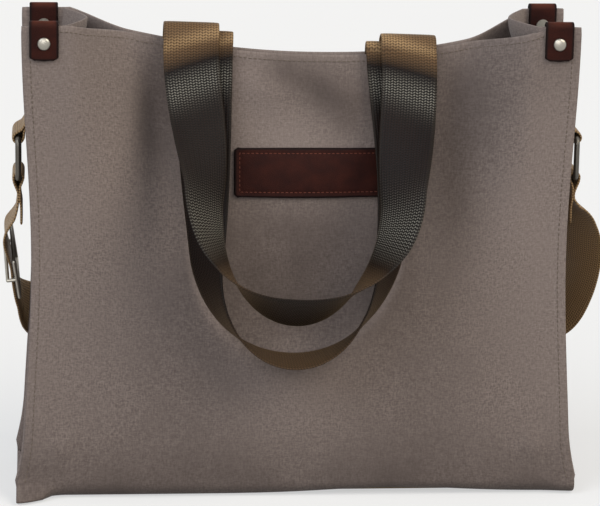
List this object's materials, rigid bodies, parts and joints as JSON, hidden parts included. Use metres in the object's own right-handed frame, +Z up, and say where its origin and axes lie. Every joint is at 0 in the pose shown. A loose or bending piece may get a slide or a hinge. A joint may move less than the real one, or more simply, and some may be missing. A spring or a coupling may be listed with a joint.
{
  "type": "canvas tote bag",
  "caption": "Open-top canvas carry bag with folded webbing handles, riveted leather corner tabs, a bare leather patch and a side-ring shoulder strap.",
  "frame": {"origin": "middle of the base's lower face, on the floor", "axes": "+X to the bag's right seen from the front, the front faces -Y, +Z up"},
  "size_m": [0.4241, 0.1905, 0.3351],
  "materials": {
    "canvas": "plain woven canvas, taupe",
    "lining": "smooth dark brown lining",
    "board": "pressed fibre board",
    "leather": "smooth dark reddish brown",
    "steel": "dull nickel plate",
    "webbing": "ribbed webbing with a dull sheen, olive brown"
  },
  "bodies": {
    "bag": {"front_panel": "canvas", "back_panel": "canvas", "base_panel": "canvas", "left_gusset": "canvas", "right_gusset": "canvas", "front_lining": "lining", "back_lining": "lining", "left_lining": "lining", "right_lining": "lining", "base_lining": "lining", "base_board": "board", "leather_patch": "leather", "front_left_tab": "leather", "front_right_tab": "leather", "back_left_tab": "leather", "back_right_tab": "leather", "corner_rivets": "steel", "rivet_backs": "steel", "snap_stud": "steel", "snap_socket": "steel", "front_handle_folds": "webbing", "front_handle_tails": "webbing", "back_handle_folds": "webbing", "back_handle_tails": "webbing", "left_ring_tab": "webbing", "right_ring_tab": "webbing"},
    "back_handle": {"back_handle": "webbing"},
    "front_handle": {"front_handle": "webbing"},
    "strap": {"shoulder_strap": "webbing", "left_strap_loop": "webbing", "right_strap_loop": "webbing"},
    "left_ring": {"left_ring": "steel"},
    "right_ring": {"right_ring": "steel"},
    "slider": {"strap_slider": "steel"}
  },
  "joints": [
    {"name": "back_handle_swing", "type": "hinge", "parent": "bag", "child": "back_handle", "pos_m": [0, -0.0068, 0.31284], "axis": [-0.9995, 0, 0.0322], "range_deg": [0, 160], "deforming": ["back_handle_folds"]},
    {"name": "front_handle_swing", "type": "hinge", "parent": "bag", "child": "front_handle", "pos_m": [0, -0.0068, 0.31284], "axis": [-0.9995, 0, 0.0322], "range_deg": [0, 160], "deforming": ["front_handle_folds"]},
    {"name": "strap_swing", "type": "hinge", "parent": "bag", "child": "strap", "pos_m": [0, 0, 0.25], "axis": [1, 0, 0], "range_deg": [0, 140], "deforming": ["left_ring_tab", "right_ring_tab"]},
    {"name": "left_ring_tilt", "type": "hinge", "parent": "strap", "child": "left_ring", "pos_m": [-0.19338, 0, 0.222], "axis": [0, -1, 0], "range_deg": [-8, 30]},
    {"name": "right_ring_tilt", "type": "hinge", "parent": "strap", "child": "right_ring", "pos_m": [0.19338, 0, 0.222], "axis": [0, 1, 0], "range_deg": [-8, 30]},
    {"name": "slider_slide", "type": "slide", "parent": "strap", "child": "slider", "axis": [0.1093, 0.4734, -0.874], "range_m": [-0.006, 0.006]}
  ],
  "couplings": [
    {"joint": "front_handle_swing", "follows": "back_handle_swing", "ratio": 1}
  ]
}
